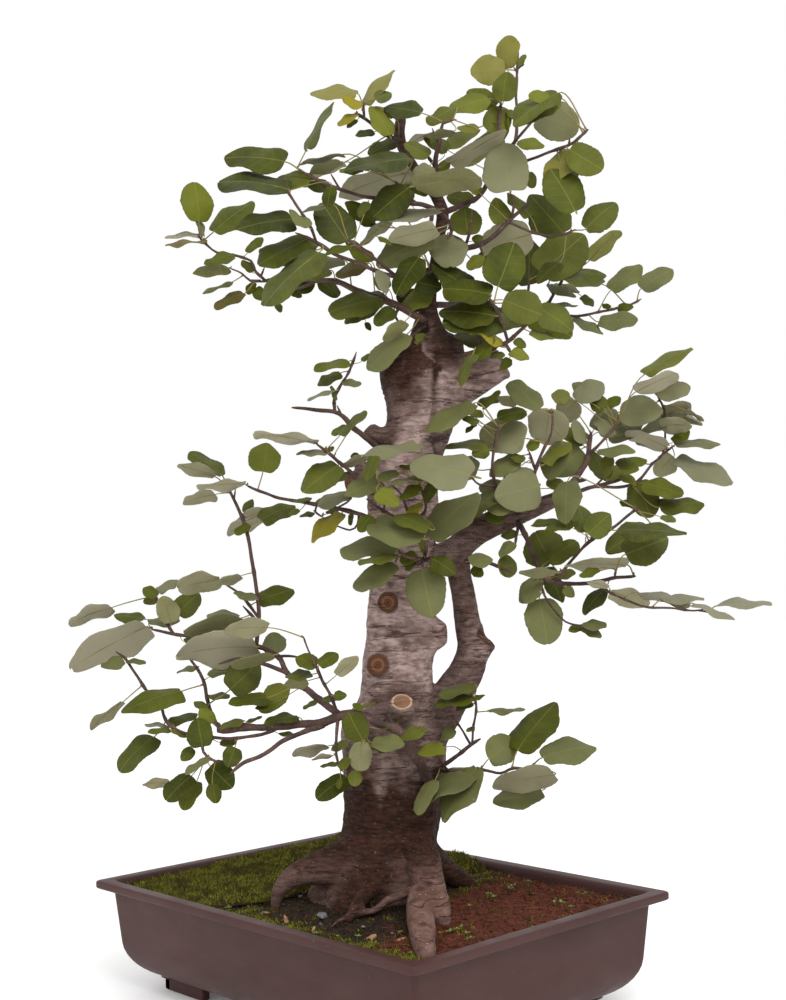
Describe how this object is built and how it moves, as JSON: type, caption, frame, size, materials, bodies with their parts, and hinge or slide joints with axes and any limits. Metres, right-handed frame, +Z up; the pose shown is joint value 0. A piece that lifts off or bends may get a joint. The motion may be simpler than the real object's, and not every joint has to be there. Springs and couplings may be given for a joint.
{
  "type": "italian alder bonsai",
  "caption": "Young broad-leaved bonsai tree with a stout tapering trunk, cut stubs and loose leafy sprays, growing in soil and moss in a low rectangular plastic pot.",
  "frame": {"origin": "middle of the whole, at floor level under the pot's feet", "axes": "+X along the pot's long side, +Y along its short side, +Z up"},
  "size_m": [0.5778, 0.5144, 0.9332],
  "materials": {
    "pot": "satin",
    "soil": "rough, fibrous",
    "moss": "rough",
    "trunk": "bark, flaky",
    "leaves": "soft, thin leaves on dark twigs"
  },
  "bodies": {
    "root": {"pot": "pot", "soil": "soil", "moss": "moss", "trunk": "trunk", "lowLeftSpray": "leaves", "midLeftSpray": "leaves", "trunkLeftSpray": "leaves", "upLeftSpray": "leaves", "frontSpray": "leaves", "upperFrontSpray": "leaves", "lowRightSpray": "leaves", "rightUpperSpray": "leaves", "rightLowerSpray": "leaves", "rightTwigSpray": "leaves", "rightInnerSpray": "leaves", "rightMidSpray": "leaves", "branchSpray": "leaves", "crownLeftSpray": "leaves", "crownLowSpray": "leaves", "crownUpSpray": "leaves", "crownTopSpray": "leaves", "crownTipSpray": "leaves", "crownRightSpray": "leaves", "crownMidSpray": "leaves", "crownFarRightSpray": "leaves"}
  },
  "joints": []
}
